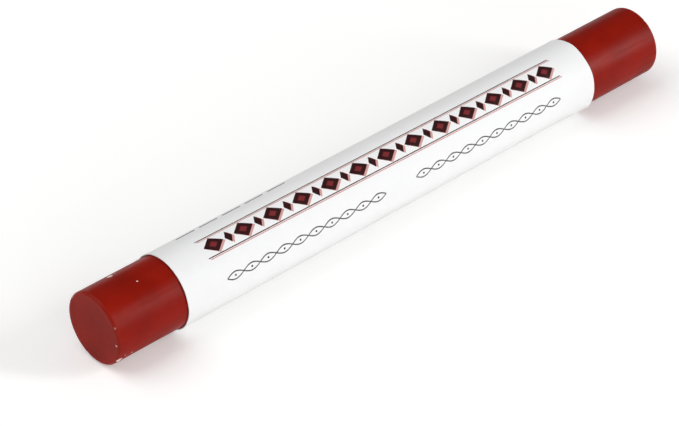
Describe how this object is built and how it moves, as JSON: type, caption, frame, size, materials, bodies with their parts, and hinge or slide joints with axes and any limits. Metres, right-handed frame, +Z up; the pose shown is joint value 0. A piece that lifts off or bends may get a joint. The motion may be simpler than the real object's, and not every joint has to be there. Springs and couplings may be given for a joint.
{
  "type": "furniture repair wax stick",
  "caption": "Round stick of pigmented repair wax with bare flat ends, held in a lapped paper sleeve that grips the wax and can be slid along it.",
  "frame": {"origin": "middle of the stick's length, on the line along which the sleeve lies on the table", "axes": "+X along the stick from its front end to its back end, +Y to the back side, where the lap of the paper is, +Z up"},
  "size_m": [0.107, 0.0115, 0.0113],
  "materials": {
    "wax": "smooth cast wax with a soft sheen",
    "paper": "coated printing paper, satin",
    "paste": "dried starch paste, matt"
  },
  "bodies": {
    "stick": {"wax_rod": "wax"},
    "sleeve": {"paper_sleeve": "paper", "lap_paste": "paste"}
  },
  "joints": [
    {"name": "sleeve_slide", "type": "slide", "parent": "stick", "child": "sleeve", "axis": [1, 0, 0], "range_m": [-0.0925, 0.0949]}
  ]
}
